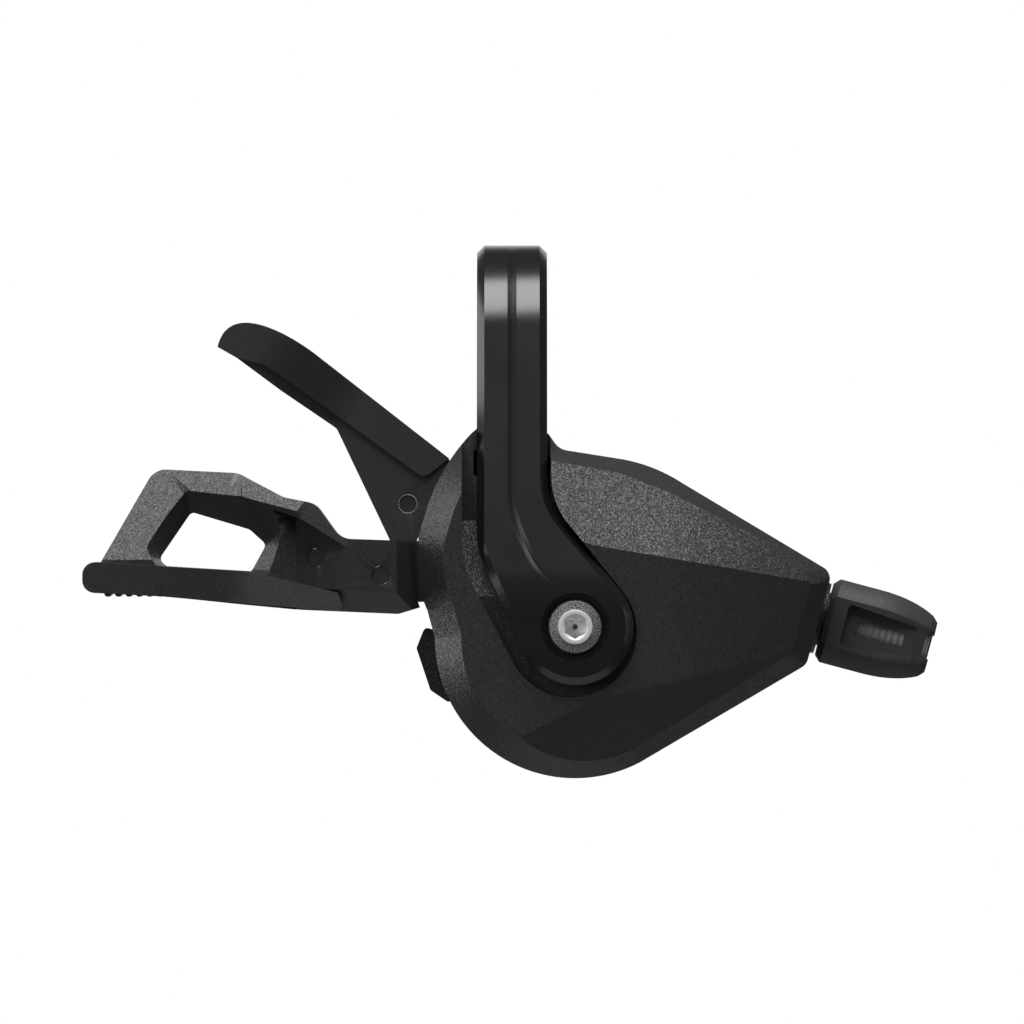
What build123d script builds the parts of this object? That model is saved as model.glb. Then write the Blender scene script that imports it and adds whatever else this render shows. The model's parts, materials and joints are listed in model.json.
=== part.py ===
import os
from math import acos, atan2, cos, degrees, hypot, radians, sin, tan

from build123d import *

# Trigger gear shifter for a flat handlebar, right-hand side.
# X runs along the bar, away from the levers. Y points away from the viewer of the cover, Z up.
# The origin is the centre of the clamp bore. Depths count from the bar axis towards -Y.

# Fits
fit = 0.02
running_fit = 0.05
lever_gap = 0.4
post_clear = 0.3
hood_gap = 0.35

# Handlebar clamp
bar_radius = 11.1
bar_clearance = 0.8
band_thickness = 3.1
band_width = 8.5
band_bevel = 0.9
arm_left_bend = -22.5
arm_right_bend = -17.2
arm_side_round = 9.0
arm_bend_round = 18.0
boss_radius = 7.0
boss_lift = 4.7
foot_bottom = -21.5

# Axes that run through the housing, as X and Z
pivot = (3.4, -24.1)
bolt_axis = (7.6, -32.1032)

# Clamp bolt and post
bolt_drop = 3.7
bolt_radius = 2.0
bolt_head_radius = 3.55
bolt_head_height = 1.2
bolt_head_taper = 20.0
bolt_clear = 1.5
socket_rim_radius = 2.05
socket_rim_height = 0.3
socket_flats = 2.5
socket_depth = 2.2
counterbore_radius = 4.1
counterbore_depth = 1.6
post_radius = 3.1
spigot_radius = 2.6
clamp_gap = 0.2

# Screws
screw_radius = 1.25
screw_head_radius = 2.1
screw_head_height = 1.2
screw_bite = 4.5
screw_spare = 1.0
head_sink = 1.4
column_radius = 2.2
right_screws = [(29.0, -23.0), (22.5, -40.5)]
left_screw_height = -32.2
foot_screw_places = [(-2.3, -18.2), (2.3, -18.2)]

# Stack of levels, forwards and backwards from the depth at which the housing parts
parting_depth = 11.6
frame_rise = 0.1
plate_thickness = 1.5
release_washer = 0.2
release_thickness = 1.2
lever_spacing = 1.1
main_thickness = 2.0
plateau_lift = 1.4
rim_drop = 4.1
ratchet_washer = 0.3
ratchet_thickness = 1.6
drum_width = 6.0
spring_space = 3.0
base_gap = 0.2

# Housing
wall = 1.6
back_wall = 1.8
back_inset = 1.2
back_taper = 45.0
rim_slope = 38.0
face_slope = 3.0
face_start = 10.0
upper_slope = 24.0
lower_slope = 13.0
upper_crease = [(9.3, -22.1), (36.0, -26.7)]
flank_crease = [(6.5, -12.4), (13.0, -13.6), (19.2, -16.0), (32.9, -23.0)]
flank_slope = 66.0
lower_crease = [(33.8, -34.9), (14.2, -39.8)]
edge_radius = 14.9
edge_span = (-24.0, 20.0)
bowl_edge = (-9.3, -33.5)
bowl_radius = 16.9
bowl_leave = -62.5
end_low = (35.5, -36.7)
end_high = (38.6, -25.6)
end_round = 1.6
flank = (20.6, -14.8)
flank_bulge = (16.9, -12.9)
shoulder = (13.3, -11.9)
shoulder_dip = (5.7, -10.7)
shoulder_round = 2.2
crown_right = (4.4, -8.8)
crown_left = (-4.3, -8.2)
crown_bulge = (-8.2, -13.2)
slot_span = (-25.0, 66.0)
channel_left = 1.8
channel_right = 0.5
channel_bend = -2.0
channel_shift = (-0.5, -0.6)
channel_round = 0.9
channel_wall = 1.2
arm_gap = 0.4

# Plates, posts and shaft
post_places = [(-1.5, -40.0), (21.5, -22.0), (12.5, -43.0)]
spacer_radius = 2.0
tenon_radius = 1.4
plate_margin = 3.4
plate_heart = 6.5
tab_overlap = 0.5
shaft_radius = 3.0
shaft_head_radius = 3.9
shaft_head_height = 0.5
washer_radius = 4.4

# Main lever
main_swing = 30.0
hub_radius = 4.6
main_rivets = [(-15.8, -25.9), (-23.6, -23.8)]
main_arm_ends = (3.4, 2.0)
rivet_radius = 1.1
rivet_sink = 0.3
tail_root = 4.2
tail_end = 2.2
arm_lift = 3.3
paddle_lift = 3.8
strut_lift = 9.8
bar_lift = 14.8
paddle_step = -26.6
pad_root_radius = 15.6
pad_root_span = (-21.5, 8.5)
pad_lower = [(-13.7, -30.6), (-25.5, -30.1), (-41.9, -28.4), (-49.5, -27.9)]
pad_lower_round = 0.9
pad_corner = (-49.5, -24.6)
pad_upper = [(-43.0, -13.1), (-33.0, -13.6), (-27.5, -16.5), (-23.6, -17.3), (-20.6, -21.5)]
pad_upper_round = 2.4
pad_end_bevel = -13.9
pad_low_crease = [(-12.0, -28.2), (-27.5, -27.2)]
pad_bevel_slope = 45.0
shoulder_span = (-26.0, -32.0)
rib_span = (-20.0, -30.0)
frame_crease = -24.0
frame_slope = 25.0
rib_outline = [
    (-38.0, -10.0), (-38.0, -16.0), (-29.4, -17.8), (-25.4, -19.1), (-20.0, -22.5), (-16.0, -10.0),
]
window_back = [
    (-38.6, -18.3), (-42.5, -24.0), (-41.6, -24.8), (-31.4, -25.5), (-29.6, -22.2), (-31.6, -20.4),
]
window_front = [
    (-39.9, -11.0), (-44.1, -22.4), (-42.6, -25.0), (-27.0, -26.2), (-21.0, -15.8), (-33.8, -10.6),
]
window_round = 0.7
bar_outline = [(-51.4, -27.9), (-51.4, -24.2), (-31.5, -25.4)]
bar_end = [(-21.0, -28.0), (-20.0, -30.3), (-41.9, -28.4)]
bar_round = 1.5
bar_nose = [(-51.4, 10.8), (-47.5, 14.8), (-36.0, 14.8)]
bar_fade = -20.5
bar_plan_round = [1.5, 3.0, 20.0]
rib_count = 6
rib_start = -48.4
rib_pitch = 1.25
rib_height = -28.0
rib_radius = 0.45
rib_margin = 1.5
rib_length = 7.0

# Release lever
release_rivet = (-12.6, -17.3)
release_arm_ends = (3.0, 2.2)
blade_plate_reach = 25.0
blade_angle = 37.0
blade_overlap = 0.15
web_thickness = 1.7
blade_thickness = 2.15
blade_rise = (31.0, 40.0)
tip_lift = 5.0
blade_bend_round = 9.0
blade_top = (-23.9, 0.9)
blade_crest = [(-29.9, 4.15), (-33.3, 4.35)]
blade_tip = (-35.5, 1.6)
blade_chin = [(-33.2, 0.3), (-27.8, -3.7)]
blade_valley = [(-33.2, 0.3), (-29.9, -0.5), (-20.6, -7.0), (-10.6, -14.2)]
blade_lower = [(-21.2, -8.2), (-14.2, -22.9), (-12.0, -22.9), (-9.8, -17.8)]
blade_root_top = (-7.6, -11.8)
blade_round = 1.0

# Ratchet and pawls
step_count = 24
tooth_tip = 8.0
tooth_height = 1.1
nose_radius = 0.6
nose_clear = 0.15
pawl_drop = 13.0
pawl_pin_radius = 1.2
pawl_head_radius = 1.5
pawl_head_height = 0.3
pawl_thickness = 1.3
eye_radius = 2.0
neck_half = 1.0
drive_reach = 11.0
drive_angle = 15.0
drive_nose = -10.0
hold_reach = 12.0
hold_angle = -85.0
hold_nose = -115.0

# Wire drum and springs
drum_radius = 9.9
groove_radius = 8.8
groove_width = 2.0
nipple_reach = 6.6
nipple_angle = 200.0
nipple_radius = 2.2
nipple_depth = 4.0
spring_strip = 0.5
spring_pitch = 1.2
spring_inner = 5.4
spring_half_turns = 6
spring_gap = 0.3
spring_leg = 1.5
wire_radius = 0.4
main_spring_radius = 5.1
main_spring_span = (0.0, 280.0)
release_spring_radius = 6.6
release_spring_span = (-20.0, 260.0)

# Cable adjuster, port and guide
adjuster_tilt = 15.0
adjuster_start = (38.3, -31.4)
neck_radius = 4.4
neck_end = -0.6
boss_inside = 13.0
sleeve_start = -0.3
sleeve_length = 13.0
sleeve_half = 5.2
sleeve_bevel = 0.7
sleeve_straight = 5.5
sleeve_end_half = 3.8
sleeve_corner = 1.16
sleeve_spigot_radius = 3.3
panel_span = (2.0, 10.8)
panel_halves = (2.6, 1.9)
panel_depth = 0.9
panel_round = 0.6
slot_reach = (3.5, 9.5)
slot_width = 1.6
notch_start = 12.0
notch_width = 2.9
barrel_radius = 2.7
barrel_inside = 7.0
barrel_spare = 2.0
barrel_reach = 12.6
cable_seat_radius = 2.1
cable_seat_length = 6.0
cable_radius = 0.9
click_radius = 3.6
click_length = 0.6
click_seat = 1.4
guide_radius = 1.5
guide_seat = 9.5
guide_corner = 15.0
guide_tail = 8.0
guide_round = 7.0
port_outline = [(1.9, -41.6), (-0.6, -39.9), (-2.3, -34.8), (-1.3, -32.3), (4.3, -34.0)]
port_round = 0.5
port_half = 3.2
port_height = -36.4
port_radius = 1.8

# Levels worked out from the stack
frame_front = parting_depth + frame_rise
frame_back = frame_front - plate_thickness
release_back = frame_front + release_washer
release_front = release_back + release_thickness
main_back = release_front + lever_spacing
main_front = main_back + main_thickness
hood_edge = main_front + hood_gap
boss_back = main_front + boss_lift
boss_depth = boss_back + band_thickness
plateau_depth = boss_back + plateau_lift
rim_depth = plateau_depth - rim_drop
ratchet_front = frame_back - ratchet_washer
ratchet_back = ratchet_front - ratchet_thickness
drum_back = ratchet_back - drum_width
base_front = drum_back - spring_space
base_back = base_front - plate_thickness
back_depth = base_back - base_gap - back_wall
cable_depth = drum_back + drum_width / 2
arm_front = main_front + arm_lift
paddle_back = main_front + paddle_lift
strut_front = main_front + strut_lift
bar_front = main_front + bar_lift
blade_back = release_back - blade_overlap
web_front = blade_back + web_thickness
blade_front = blade_back + blade_thickness

# Other sizes worked out from the values above
band_outer = bar_radius + band_thickness
half_band = band_width / 2
saddle_radius = bar_radius + bar_clearance
tooth_pitch = 360 / step_count
nose_seat = tooth_tip - tooth_height / 2 + nose_radius
foot_front = -base_back
foot_back = foot_front + band_thickness
side_reach = 2 * boss_depth
bowl_centre = (bowl_edge[0] + bowl_radius, bowl_edge[1])
left_screw = (bowl_edge[0] + column_radius, left_screw_height)
screw_places = right_screws + [left_screw]
tab_top = -saddle_radius - wall - running_fit

# The arm leans so that its back, tangent to the bar, meets the boss's back just above the bolt
bend_inner = bolt_axis[1] + bolt_drop
arm_tilt = degrees(acos(bar_radius / hypot(boss_back, bend_inner)) - atan2(-bend_inner, boss_back))


def level(depth):
    """Plane parallel to the cover, facing the viewer, at a depth in front of the bar axis."""
    return Plane.XZ.offset(depth)


def polar(centre, radius, angle):
    """Point at a radius and an angle above the right-hand horizontal."""
    return (centre[0] + radius * cos(radians(angle)), centre[1] + radius * sin(radians(angle)))


def turned(point, centre, angle):
    """Point swung about a centre, counter-clockwise as the viewer sees it."""
    reach = hypot(point[0] - centre[0], point[1] - centre[1])
    start = degrees(atan2(point[1] - centre[1], point[0] - centre[0]))
    return polar(centre, reach, start + angle)


def lean(radius, height):
    """Depth, at a height, of the leaning arm's surface that is tangent to a ring radius."""
    slide = (radius * sin(radians(arm_tilt)) - height) / cos(radians(arm_tilt))
    return radius * cos(radians(arm_tilt)) + slide * sin(radians(arm_tilt))


def discs(places, radius, depth):
    """Circles at several places on one level."""
    with BuildSketch(level(depth)) as marks:
        with Locations(*places):
            Circle(radius)
    return marks.sketch


def rings(place, outer, inner, depth):
    """Flat ring on a level."""
    with BuildSketch(level(depth)) as mark:
        with Locations(place):
            Circle(outer)
            Circle(inner, mode=Mode.SUBTRACT)
    return mark.sketch


def hull_of(circles, depth):
    """Outline drawn tightly round circles given as (centre, radius)."""
    with BuildSketch(level(depth)) as outline:
        with BuildLine():
            for centre, radius in circles:
                CenterArc(centre, radius, 0, 360)
        make_hull()
    return outline.sketch


plate_circles = [(place, plate_margin) for place in post_places] + [(pivot, plate_heart)]

# Pawl pins, and the pawls' noses seated in the teeth and lifted at rest
drive_pin = polar(pivot, drive_reach, drive_angle)
drive_nose_rest = turned(polar(pivot, nose_seat, drive_nose), drive_pin, pawl_drop)
hold_pin = polar(pivot, hold_reach, hold_angle)
hold_nose_rest = turned(polar(pivot, nose_seat, hold_nose), hold_pin, pawl_drop)

# Clamp band: the leaning arm with its boss, then ring and foot
contact = (-cos(radians(arm_tilt)), sin(radians(arm_tilt)))
bend_outer = -(boss_depth - lean(band_outer, 0)) / tan(radians(arm_tilt))
arm_end = bolt_axis[1] - 2 * boss_radius


def arm_outline(left, left_bend, right, right_bend, centre, radius, depth):
    """Front outline of the arm: a straight strip that bends aside to a round boss."""
    with BuildSketch(level(depth)) as outline:
        with BuildLine():
            Line((-left, left_bend), (right, right_bend))
            CenterArc(centre, radius, 0, 360)
        make_hull()
        with BuildLine():
            Polyline(
                (-left, left_bend),
                (right, right_bend),
                (right, bar_radius),
                (-left, bar_radius),
                close=True,
            )
        make_face()
        for bend in [(-left, left_bend), (right, right_bend)]:
            fillet(outline.vertices().sort_by_distance(bend)[0], arm_side_round)
    return outline.sketch


with BuildPart() as clamp_arm:
    outline = arm_outline(half_band, arm_left_bend, half_band, arm_right_bend, bolt_axis, boss_radius, 0)
    extrude(outline, amount=side_reach)
    arm_top = (contact[0] * band_outer, contact[1] * band_outer)
    with BuildSketch(Plane.YZ.offset(-side_reach)):
        with BuildLine():
            FilletPolyline(arm_top, (-boss_depth, bend_outer), (-boss_depth, arm_end), radius=arm_bend_round)
            Polyline(
                (-boss_depth, arm_end),
                (-boss_back, arm_end),
                (-boss_back, bend_inner),
                (contact[0] * bar_radius, contact[1] * bar_radius),
                arm_top,
            )
        make_face()
    extrude(amount=2 * side_reach, mode=Mode.INTERSECT)
    facing = -cos(radians(2 * arm_tilt))
    front = clamp_arm.faces().filter_by(lambda face: face.normal_at().Y < facing).edges()
    rim = [edge for edge in front if sum(edge.is_same(other) for other in front) == 1]
    chamfer([edge for edge in rim if edge.center().Z < 0], band_bevel)

with BuildPart() as clamp_ring:
    with BuildSketch(Plane.YZ.offset(-half_band)):
        Circle(band_outer)
    extrude(amount=band_width)
    chamfer(clamp_ring.edges(), band_bevel)
    with BuildSketch(Plane.YZ.offset(-half_band)):
        with BuildLine():
            Polyline(
                (0, 0),
                (contact[0] * 2 * band_outer, contact[1] * 2 * band_outer),
                (-2 * band_outer, -2 * band_outer),
                (foot_front, -2 * band_outer),
                (foot_front, 0),
                close=True,
            )
        make_face()
        Circle(bar_radius)
    extrude(amount=band_width, mode=Mode.SUBTRACT)

with BuildPart() as clamp_band:
    with BuildSketch(Plane.YZ.offset(-half_band)):
        with Locations(((foot_front + foot_back) / 2, (foot_bottom - bar_radius) / 2)):
            Rectangle(band_thickness, -foot_bottom - bar_radius)
        Circle(bar_radius, mode=Mode.SUBTRACT)
    extrude(amount=band_width)
    add(clamp_ring.part)
    add(clamp_arm.part)
    extrude(discs([bolt_axis], bolt_radius + clamp_gap, boss_back), amount=band_thickness, mode=Mode.SUBTRACT)
    seat = boss_depth - counterbore_depth
    extrude(discs([bolt_axis], counterbore_radius, seat), amount=counterbore_depth, mode=Mode.SUBTRACT)
    foot_holes = discs(foot_screw_places, screw_radius + fit, -foot_back)
    extrude(foot_holes, amount=band_thickness, mode=Mode.SUBTRACT)
clamp_band.part.label = "clamp_band"

# Clamp bolt: a conical collar with a raised rim round the hexagon socket
with BuildPart() as clamp_bolt:
    seat = boss_depth - counterbore_depth
    extrude(discs([bolt_axis], bolt_radius, frame_front + bolt_clear), amount=seat - frame_front - bolt_clear)
    extrude(discs([bolt_axis], bolt_head_radius, seat), amount=bolt_head_height, taper=bolt_head_taper)
    top = seat + bolt_head_height
    extrude(discs([bolt_axis], socket_rim_radius, top), amount=socket_rim_height)
    with BuildSketch(level(top + socket_rim_height)):
        with Locations(bolt_axis):
            RegularPolygon(socket_flats / 2, 6, major_radius=False, rotation=30)
    extrude(amount=-socket_depth, mode=Mode.SUBTRACT)
clamp_bolt.part.label = "clamp_bolt"

# Clamp post: threaded stand-off riveted into the frame plate
with BuildPart() as clamp_post:
    extrude(discs([bolt_axis], spigot_radius, frame_back), amount=plate_thickness)
    extrude(discs([bolt_axis], post_radius, frame_front), amount=boss_back - clamp_gap - frame_front)
    bore_length = boss_back - clamp_gap - frame_back
    extrude(discs([bolt_axis], bolt_radius + fit, frame_back), amount=bore_length, mode=Mode.SUBTRACT)
clamp_post.part.label = "clamp_post"

# Screws through the band's foot into the base plate
with BuildPart() as foot_screws:
    extrude(discs(foot_screw_places, screw_radius, -foot_back), amount=foot_back + base_front)
    head_back = -foot_back - screw_head_height
    extrude(discs(foot_screw_places, screw_head_radius, head_back), amount=screw_head_height)
foot_screws.part.label = "foot_screws"


# Housing
def housing_outline(inset, depth):
    """Edge of the housing as the viewer sees it, drawn in by an inset."""
    upper_left = polar(pivot, edge_radius, 180 - edge_span[1])
    lower_left = polar(pivot, edge_radius, 180 - edge_span[0])
    bowl_right = polar(bowl_centre, bowl_radius, bowl_leave)
    with BuildSketch(level(depth)) as outline:
        with BuildLine():
            ThreePointArc(upper_left, (pivot[0] - edge_radius, pivot[1]), lower_left)
            Line(lower_left, bowl_edge)
            ThreePointArc(bowl_edge, (bowl_centre[0], bowl_centre[1] - bowl_radius), bowl_right)
            FilletPolyline(bowl_right, end_low, end_high, flank, radius=end_round)
            ThreePointArc(flank, flank_bulge, shoulder)
            FilletPolyline(shoulder, shoulder_dip, crown_right, radius=shoulder_round)
            Line(crown_right, crown_left)
            ThreePointArc(crown_left, crown_bulge, upper_left)
        make_face()
        if inset > 0:
            offset(amount=-inset, kind=Kind.INTERSECTION)
    return outline.sketch


def facet(start, end, slope):
    """Plane through two points in space that falls away on the left of the line between them."""
    run = (end - start).normalized()
    side = Vector(-run.Z, 0, run.X).normalized()
    fall = side * cos(radians(slope)) + Vector(0, 1, 0) * sin(radians(slope))
    return Plane(origin=start, x_dir=run, z_dir=run.cross(fall))


def crease(point, inset):
    """Point of the cover's face, which falls away to the right, or of its hollow."""
    fall = max(point[0] - face_start, 0) * tan(radians(face_slope))
    return Vector(point[0], fall + inset - plateau_depth, point[1])


def flank_point(point, inset):
    """Point of the cover's upper facet, or of its hollow."""
    start, end = upper_crease
    upper = facet(crease(start, inset), crease(end, inset), upper_slope)
    across = Vector(point[0], upper.origin.Y, point[1]) - upper.origin
    return Vector(point[0], upper.origin.Y - across.dot(upper.z_dir) / upper.z_dir.Y, point[1])


def cover_form(inset):
    """Outer form of the cover, or its hollow when drawn in by the wall."""
    face_line = [(face_start, 0), (face_start, foot_bottom)]
    with BuildPart() as form:
        extrude(housing_outline(inset, parting_depth), amount=rim_depth - parting_depth)
        rise = plateau_depth - rim_depth - inset
        extrude(housing_outline(inset, rim_depth), amount=rise, taper=rim_slope)
        for (start, end), slope in [(face_line, face_slope), (lower_crease, lower_slope)]:
            split(bisect_by=facet(crease(start, inset), crease(end, inset), slope), keep=Keep.BOTTOM)
    with BuildPart() as flank_side:
        add(form.part)
        split(bisect_by=Plane.YZ.offset(half_band), keep=Keep.TOP)
        start, end = upper_crease
        split(bisect_by=facet(crease(start, inset), crease(end, inset), upper_slope), keep=Keep.BOTTOM)
        for start, end in zip(flank_crease, flank_crease[1:]):
            fall = facet(flank_point(start, inset), flank_point(end, inset), flank_slope)
            split(bisect_by=fall, keep=Keep.BOTTOM)
    with BuildPart() as whole:
        add(form.part)
        split(bisect_by=Plane.YZ.offset(half_band), keep=Keep.BOTTOM)
        add(flank_side.part)
    return whole.part


# Height at which the arm's back comes as near as the hood over the levers allows
hood_top = hood_edge + channel_wall + clamp_gap
hood_slide = (hood_top - bar_radius * cos(radians(arm_tilt))) / sin(radians(arm_tilt))
channel_top = bar_radius * sin(radians(arm_tilt)) - hood_slide * cos(radians(arm_tilt))


def channel(margin, drop):
    """Recess in which the arm lies: its floor follows the arm's back, then runs level under the bar."""
    left = half_band + channel_left + margin
    right = half_band + channel_right + margin
    centre = (bolt_axis[0] + channel_shift[0], bolt_axis[1] + channel_shift[1])
    radius = boss_radius + channel_round + margin
    bends = (arm_left_bend + channel_bend, arm_right_bend)
    boss_floor = clamp_gap + drop - boss_back
    hood_floor = clamp_gap + drop - hood_top
    with BuildPart() as space:
        extrude(arm_outline(left, bends[0], right, bends[1], centre, radius, 0), amount=side_reach)
        with BuildSketch(Plane.YZ.offset(-side_reach)):
            with BuildLine():
                Polyline(
                    (-side_reach, arm_end),
                    (boss_floor, arm_end),
                    (boss_floor, bend_inner),
                    (hood_floor, channel_top),
                    (hood_floor, bar_radius),
                    (-side_reach, bar_radius),
                    close=True,
                )
            make_face()
        extrude(amount=2 * side_reach, mode=Mode.INTERSECT)
    return space.part


def lever_slot(start, end):
    """Sector at the levers' side, between two depths, through which the lever plates pass."""
    with BuildSketch(level(start)) as sector:
        with BuildLine():
            Polyline(
                pivot,
                polar(pivot, side_reach, 180 - slot_span[0]),
                polar(pivot, side_reach, 180 - (slot_span[0] + slot_span[1]) / 2),
                polar(pivot, side_reach, 180 - slot_span[1]),
                close=True,
            )
        make_face()
        with Locations(pivot):
            Circle(edge_radius - 2 * wall, mode=Mode.SUBTRACT)
    with BuildPart() as slot:
        extrude(sector.sketch, amount=end - start)
    return slot.part


# Front cover: a faceted shell with the arm's channel and posts for the screws
hollow = cover_form(wall)
with BuildPart() as cavity:
    add(hollow)
    add(channel(channel_wall, channel_wall), mode=Mode.SUBTRACT)
    column_length = plateau_depth - parting_depth
    extrude(discs(screw_places, column_radius, parting_depth), amount=column_length, mode=Mode.SUBTRACT)
with BuildPart() as front_cover:
    add(cover_form(0))
    add(cavity.part, mode=Mode.SUBTRACT)
    add(channel(0, 0), mode=Mode.SUBTRACT)
    with BuildSketch(level(parting_depth)):
        with Locations((0, channel_top / 2)):
            Rectangle(band_width + 2 * arm_gap, -channel_top)
    extrude(amount=side_reach, mode=Mode.SUBTRACT)
    add(lever_slot(parting_depth, hood_edge), mode=Mode.SUBTRACT)
    post_hole = discs([bolt_axis], post_radius + post_clear, frame_front)
    extrude(post_hole, amount=side_reach / 2, mode=Mode.SUBTRACT)
    hole_length = screw_bite + screw_spare
    extrude(discs(screw_places, screw_radius + fit, parting_depth), amount=hole_length, mode=Mode.SUBTRACT)
front_cover.part.label = "front_cover"

# Adjuster axis: local X runs outwards along the cable, local Z faces the viewer
adjuster_run = (cos(radians(adjuster_tilt)), 0, -sin(radians(adjuster_tilt)))
adjuster_origin = (adjuster_start[0], -cable_depth, adjuster_start[1])
adjuster_plane = Plane(origin=adjuster_origin, x_dir=adjuster_run, z_dir=(0, -1, 0))
adjuster_axis = Axis(adjuster_origin, adjuster_run)


def along_cable(start):
    """Plane across the cable's exit axis, at a distance along it."""
    origin = adjuster_plane.from_local_coords((start, 0, 0))
    return Plane(origin=origin, x_dir=(0, 1, 0), z_dir=adjuster_run)


# Rear housing: saddle under the bar, boss for the cable adjuster, posts for the cover screws
with BuildPart() as rear_hollow:
    extrude(housing_outline(wall, back_depth + back_wall), amount=parting_depth - back_depth - back_wall)
    with BuildSketch(Plane.YZ.offset(-2 * side_reach)):
        Circle(saddle_radius + wall)
    extrude(amount=4 * side_reach, mode=Mode.SUBTRACT)
    column_length = parting_depth - back_depth
    extrude(discs(screw_places, column_radius, back_depth), amount=column_length, mode=Mode.SUBTRACT)
    with BuildSketch(along_cable(-boss_inside)):
        Circle(neck_radius)
    extrude(amount=2 * boss_inside, mode=Mode.SUBTRACT)
with BuildPart() as rear_housing:
    back_edge = back_depth + back_inset
    extrude(housing_outline(0, back_edge), amount=parting_depth - back_edge)
    extrude(housing_outline(0, back_edge), amount=-back_inset, taper=back_taper)
    with BuildSketch(along_cable(-boss_inside)):
        Circle(neck_radius)
    extrude(amount=boss_inside + neck_end)
    add(rear_hollow.part, mode=Mode.SUBTRACT)
    with BuildSketch(Plane.YZ.offset(-2 * side_reach)):
        Circle(saddle_radius)
    extrude(amount=4 * side_reach, mode=Mode.SUBTRACT)
    with BuildSketch(Plane.YZ.offset(-half_band - running_fit)):
        with BuildLine():
            Polyline(
                (foot_front - lever_gap, 0),
                (foot_front - lever_gap, foot_bottom - lever_gap),
                (side_reach, foot_bottom - lever_gap),
                (side_reach, 0),
                close=True,
            )
        make_face()
    extrude(amount=band_width + 2 * running_fit, mode=Mode.SUBTRACT)
    add(lever_slot(parting_depth - lever_gap, parting_depth), mode=Mode.SUBTRACT)
    screw_holes = discs(screw_places, screw_radius + post_clear, back_depth)
    extrude(screw_holes, amount=parting_depth - back_depth, mode=Mode.SUBTRACT)
    head_holes = discs(screw_places, screw_head_radius + post_clear, back_depth)
    extrude(head_holes, amount=head_sink, mode=Mode.SUBTRACT)
    with BuildSketch(along_cable(-barrel_inside - barrel_spare)):
        Circle(barrel_radius + running_fit)
    extrude(amount=barrel_inside + barrel_spare + neck_end, mode=Mode.SUBTRACT)
    with BuildSketch(along_cable(-boss_inside)):
        Circle(guide_radius + fit)
    extrude(amount=boss_inside, mode=Mode.SUBTRACT)
    with BuildSketch(along_cable(neck_end - click_seat)):
        Circle(click_radius + fit)
    extrude(amount=click_seat, mode=Mode.SUBTRACT)
    with BuildSketch(Plane.YZ.offset(bowl_edge[0] - wall)):
        with Locations((-cable_depth, port_height)):
            Circle(port_radius + fit)
    extrude(amount=4 * wall, mode=Mode.SUBTRACT)
rear_housing.part.label = "rear_housing"

# Cover screws, put in from behind
with BuildPart() as cover_screws:
    seat = back_depth + head_sink
    extrude(discs(screw_places, screw_radius, seat), amount=parting_depth + screw_bite - seat)
    extrude(discs(screw_places, screw_head_radius, seat - screw_head_height), amount=screw_head_height)
cover_screws.part.label = "cover_screws"

# Cable port cap: a block outside the wall with a round plug through it
with BuildPart() as cable_port_cap:
    with BuildSketch(level(cable_depth - port_half)):
        with BuildLine():
            block = [(bowl_edge[0] + along, height) for along, height in port_outline]
            FilletPolyline(*block, radius=port_round, close=True)
        make_face()
    extrude(amount=2 * port_half)
    extrude(housing_outline(0, cable_depth - port_half), amount=2 * port_half, mode=Mode.SUBTRACT)
    with BuildSketch(Plane.YZ.offset(bowl_edge[0] - fit)):
        with Locations((-cable_depth, port_height)):
            Circle(port_radius)
    extrude(amount=2 * wall)
cable_port_cap.part.label = "cable_port_cap"

# Frame plate: carries the shaft, the clamp post and the hold pawl, with a slot for the drive pawl's pin
with BuildPart() as frame_plate:
    extrude(hull_of(plate_circles, frame_back), amount=plate_thickness)
    extrude(discs([pivot], shaft_radius + fit, frame_back), amount=plate_thickness, mode=Mode.SUBTRACT)
    extrude(discs([bolt_axis], spigot_radius + fit, frame_back), amount=plate_thickness, mode=Mode.SUBTRACT)
    extrude(discs([hold_pin], pawl_pin_radius + fit, frame_back), amount=plate_thickness, mode=Mode.SUBTRACT)
    extrude(discs(post_places, tenon_radius + fit, frame_back), amount=plate_thickness, mode=Mode.SUBTRACT)
    with BuildSketch(level(frame_back)):
        with BuildLine() as pin_path:
            CenterArc(pivot, drive_reach, drive_angle - main_swing, main_swing)
        SlotArc(pin_path.edge(), 2 * (pawl_pin_radius + lever_gap))
    extrude(amount=plate_thickness, mode=Mode.SUBTRACT)
frame_plate.part.label = "frame_plate"

# Base plate: behind the drum, with a tab under the band's foot
with BuildPart() as base_plate:
    extrude(hull_of(plate_circles, base_back), amount=plate_thickness)
    with BuildSketch(level(base_back)):
        with Locations((0, (tab_top + pivot[1]) / 2)):
            Rectangle(band_width + 2 * (running_fit + tab_overlap), tab_top - pivot[1])
    extrude(amount=plate_thickness)
    extrude(discs([pivot], shaft_radius + fit, base_back), amount=plate_thickness, mode=Mode.SUBTRACT)
    foot_holes = discs(foot_screw_places, screw_radius + fit, base_back)
    extrude(foot_holes, amount=plate_thickness, mode=Mode.SUBTRACT)
    extrude(discs(post_places, tenon_radius + fit, base_back), amount=plate_thickness, mode=Mode.SUBTRACT)
base_plate.part.label = "base_plate"

# Spacer posts, tenoned into both plates
with BuildPart() as spacer_posts:
    extrude(discs(post_places, spacer_radius, base_front), amount=frame_back - base_front)
    extrude(discs(post_places, tenon_radius, base_back), amount=frame_front - base_back)
spacer_posts.part.label = "spacer_posts"

# Main shaft with its flat head
with BuildPart() as main_shaft:
    shaft_end = main_front + running_fit
    extrude(discs([pivot], shaft_radius, base_back), amount=shaft_end - base_back)
    extrude(discs([pivot], shaft_head_radius, shaft_end), amount=shaft_head_height)
main_shaft.part.label = "main_shaft"

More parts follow.
